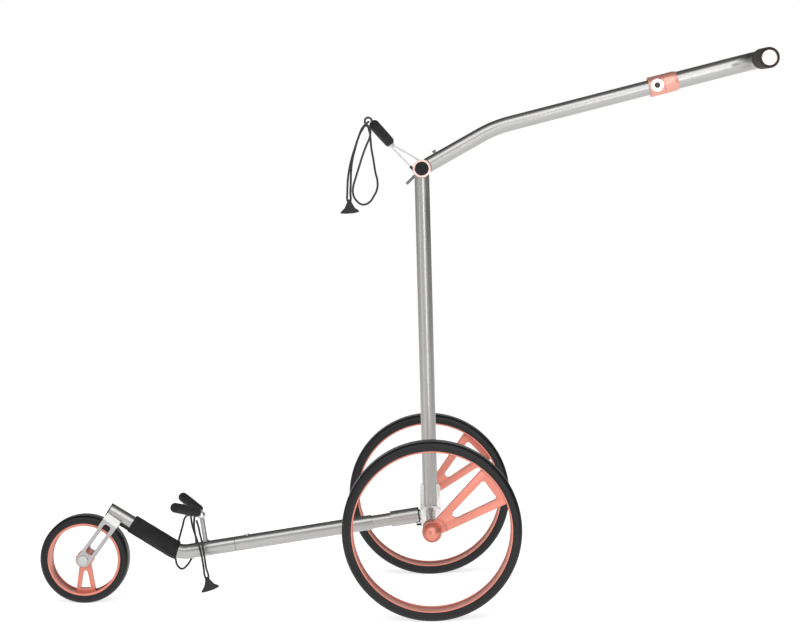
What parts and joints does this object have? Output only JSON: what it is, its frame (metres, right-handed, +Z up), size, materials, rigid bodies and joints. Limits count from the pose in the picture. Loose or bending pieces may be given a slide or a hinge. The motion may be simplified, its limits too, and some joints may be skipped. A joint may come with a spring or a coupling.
{
  "type": "golf push cart",
  "caption": "Three-wheel single-shaft golf push cart with two padded bag cradles, elastic straps and a one-sided swivelling handle.",
  "frame": {"origin": "on the ground below the middle of the cart's length and width", "axes": "+X towards the handle, -X towards the front wheel, +Y towards the cart's right side, +Z up"},
  "size_m": [1.2654, 0.5774, 0.9233],
  "materials": {
    "tyre_rubber": "matte black foam rubber",
    "rose_gold": "satin anodised salmon pink",
    "bearing_steel": "ground steel",
    "brushed_tube": "brushed satin tube",
    "brushed_frame": "brushed satin tube",
    "polished": "light satin machined metal",
    "black_plastic": "matt black moulded plastic",
    "foam": "fine-grained black foam",
    "grip_leather": "fine-grained dark leather",
    "cap_pearl": "pale satin",
    "cord_black": "braided elastic cord",
    "wire_steel": "bright drawn wire"
  },
  "bodies": {
    "chassis": {"hub_bracket": "polished", "spigot": "brushed_frame", "axle_beam": "brushed_tube", "catch_pin": "bearing_steel", "upright_tube": "brushed_tube", "joint_cheek_left": "rose_gold", "joint_cheek_right": "rose_gold", "joint_bolt": "bearing_steel", "joint_cap": "black_plastic", "joint_nut": "bearing_steel", "upper_wires": "wire_steel", "wire_ferrules": "polished", "stay_ends": "black_plastic", "upper_pads": "foam", "upper_cord": "cord_black", "upper_hook": "black_plastic"},
    "left_wheel": {"left_tyre": "tyre_rubber", "left_rim": "rose_gold", "left_bearings": "bearing_steel", "left_hub_ball": "rose_gold"},
    "right_wheel": {"right_tyre": "tyre_rubber", "right_rim": "rose_gold", "right_bearings": "bearing_steel", "right_hub_ball": "rose_gold"},
    "catch": {"catch": "black_plastic"},
    "lower_frame": {"hub_socket": "brushed_frame", "socket_ring": "black_plastic", "neck_tube": "brushed_frame", "lower_tube": "brushed_frame", "front_tube": "brushed_frame", "front_tube_plug": "black_plastic", "foam_sleeve": "foam", "cradle_post": "brushed_frame", "lower_arms": "wire_steel", "lower_pads": "foam", "lower_cord": "cord_black", "lower_hook": "black_plastic", "fork_saddle": "polished", "fork_shim": "black_plastic", "fork_leg_left": "brushed_frame", "fork_leg_right": "brushed_frame", "front_axle_bolt": "bearing_steel", "front_axle_nut": "bearing_steel", "snap_spring": "wire_steel"},
    "front_wheel": {"front_tyre": "tyre_rubber", "front_rim": "rose_gold", "front_bearings": "bearing_steel"},
    "snap_button": {"snap_button": "bearing_steel"},
    "handle": {"handle_knuckle": "polished", "handle_shaft": "brushed_tube", "stop_stud": "bearing_steel"},
    "joint_lever": {"joint_lever": "bearing_steel"},
    "collar": {"collar": "rose_gold", "collar_nut": "rose_gold"},
    "collar_button": {"collar_button": "black_plastic"},
    "grip": {"grip_tube": "brushed_tube", "grip_sleeve": "grip_leather", "grip_cap": "cap_pearl"}
  },
  "joints": [
    {"name": "left_wheel_spin", "type": "hinge", "parent": "chassis", "child": "left_wheel", "pos_m": [0.04117, -0.24, 0.146], "axis": [0, 1, 0], "continuous": true},
    {"name": "right_wheel_spin", "type": "hinge", "parent": "chassis", "child": "right_wheel", "pos_m": [0.04117, 0.24, 0.146], "axis": [0, 1, 0], "continuous": true},
    {"name": "lower_frame_plug", "type": "slide", "parent": "chassis", "child": "lower_frame", "axis": [-0.9905, 0, -0.1374], "range_m": [0, 0.03]},
    {"name": "catch_release", "type": "hinge", "parent": "chassis", "child": "catch", "pos_m": [0.02917, 0, 0.124], "axis": [0, -1, 0], "range_deg": [0, 12], "stiffness_Nm_per_rad": 0.05, "springref_deg": -11.46},
    {"name": "snap_button_press", "type": "slide", "parent": "lower_frame", "child": "snap_button", "axis": [0.1374, 0, -0.9905], "range_m": [0, 0.0031], "stiffness_N_per_m": 400, "springref_m": -0.003, "deforming": ["snap_spring"]},
    {"name": "front_wheel_spin", "type": "hinge", "parent": "lower_frame", "child": "front_wheel", "pos_m": [-0.55626, 0, 0.076], "axis": [0, 1, 0], "continuous": true},
    {"name": "handle_tilt", "type": "hinge", "parent": "chassis", "child": "handle", "pos_m": [0.03809, 0, 0.734], "axis": [0, -1, 0], "range_deg": [-16, 60]},
    {"name": "lever_release", "type": "hinge", "parent": "chassis", "child": "joint_lever", "pos_m": [0.03809, 0, 0.734], "axis": [0, 1, 0], "range_deg": [0, 60]},
    {"name": "grip_extension", "type": "slide", "parent": "handle", "child": "collar", "axis": [0.9736, 0, 0.2284], "range_m": [-0.04, 0.03]},
    {"name": "grip_swivel", "type": "hinge", "parent": "collar", "child": "grip", "pos_m": [0.42881, 0, 0.86391], "axis": [-0.9736, 0, -0.2284], "range_deg": [0, 180]},
    {"name": "collar_button_press", "type": "slide", "parent": "collar", "child": "collar_button", "axis": [0, 1, 0], "range_m": [0, 0.0022], "stiffness_N_per_m": 500, "springref_m": -0.002}
  ]
}
